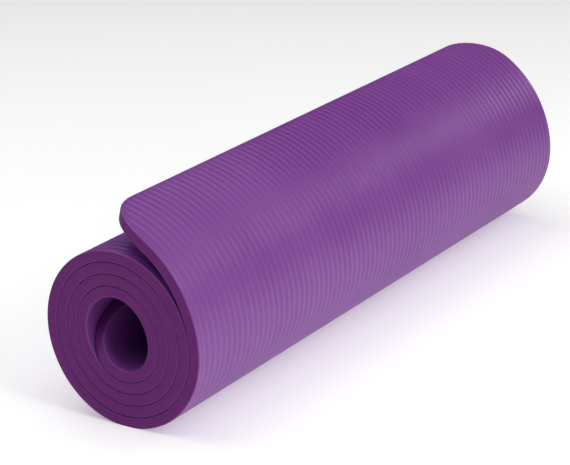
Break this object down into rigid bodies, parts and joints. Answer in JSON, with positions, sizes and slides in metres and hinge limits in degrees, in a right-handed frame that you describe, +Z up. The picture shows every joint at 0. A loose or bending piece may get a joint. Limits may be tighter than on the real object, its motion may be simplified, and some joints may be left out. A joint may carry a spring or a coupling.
{
  "type": "rolled exercise mat",
  "caption": "Thick ribbed foam exercise mat wound into a roll and lying on its side, with a free outer end that peels back.",
  "frame": {"origin": "on the floor, under the middle of the mat's box", "axes": "+Y along the roll's axis, from the end whose inside shows the free end on top towards the other end; +Z up; +X to the right as seen from the -Y end"},
  "size_m": [0.139, 0.61, 0.1685],
  "materials": {
    "foam": "matte"
  },
  "bodies": {
    "roll": {"rolled_mat": "foam"},
    "flap": {"free_end": "foam"}
  },
  "joints": [
    {"name": "peel", "type": "hinge", "parent": "roll", "child": "flap", "pos_m": [0.03375, 0, 0.14429], "axis": [0, 1, 0], "range_deg": [0, 75]}
  ]
}
